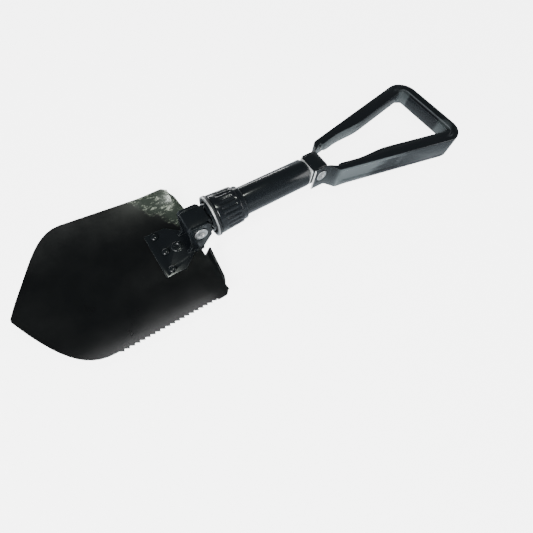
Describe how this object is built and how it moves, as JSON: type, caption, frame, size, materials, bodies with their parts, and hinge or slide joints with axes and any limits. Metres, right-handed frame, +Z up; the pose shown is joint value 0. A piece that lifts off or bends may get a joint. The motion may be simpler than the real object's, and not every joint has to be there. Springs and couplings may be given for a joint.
{
  "type": "folding camp shovel",
  "caption": "Compact folding camp shovel: pointed blade with a saw edge, a tube shaft with a screw locking collar, and a folding D grip.",
  "frame": {"origin": "under the middle of the blade's flat back, on the surface that it rests on", "axes": "+X from the blade to the grip, +Z up out of the blade's hollow face, saw edge on the -Y side"},
  "size_m": [0.4021, 0.1169, 0.0394],
  "materials": {
    "blade_paint": "satin black paint",
    "gloss_paint": "gloss black paint",
    "plated_steel": "bright plated steel",
    "bare_steel": "plain machined steel"
  },
  "bodies": {
    "blade": {"blade": "blade_paint", "hinge_bracket": "gloss_paint", "bracket_rivet_plain_side": "gloss_paint", "bracket_rivet_middle": "gloss_paint", "bracket_rivet_saw_side": "gloss_paint", "blade_pivot_rivet": "plated_steel"},
    "shaft": {"hinge_block": "gloss_paint", "block_pin_1": "bare_steel", "block_pin_2": "bare_steel", "shaft_tube": "gloss_paint", "threaded_sleeve": "bare_steel", "handle_socket": "gloss_paint"},
    "ring": {"thrust_ring": "plated_steel"},
    "collar": {"locking_collar": "gloss_paint"},
    "handle": {"d_handle": "gloss_paint", "handle_pivot_rivet": "plated_steel"}
  },
  "joints": [
    {"name": "blade_fold", "type": "hinge", "parent": "blade", "child": "shaft", "pos_m": [0.06, 0, 0.0225], "axis": [0, -1, 0], "range_deg": [0, 179]},
    {"name": "collar_travel", "type": "slide", "parent": "shaft", "child": "ring", "axis": [0.9998, 0, 0.0175], "range_m": [-0.0032, 0.006]},
    {"name": "collar_turn", "type": "hinge", "parent": "ring", "child": "collar", "pos_m": [0.076, 0, 0.02278], "axis": [0.9998, 0, 0.0175], "range_deg": [-288, 540]},
    {"name": "handle_fold", "type": "hinge", "parent": "shaft", "child": "handle", "pos_m": [0.17598, 0, 0.02452], "axis": [0, -1, 0], "range_deg": [0, 180]}
  ],
  "couplings": [
    {"joint": "collar_turn", "follows": "collar_travel", "rad_per_m": 1570.8}
  ]
}
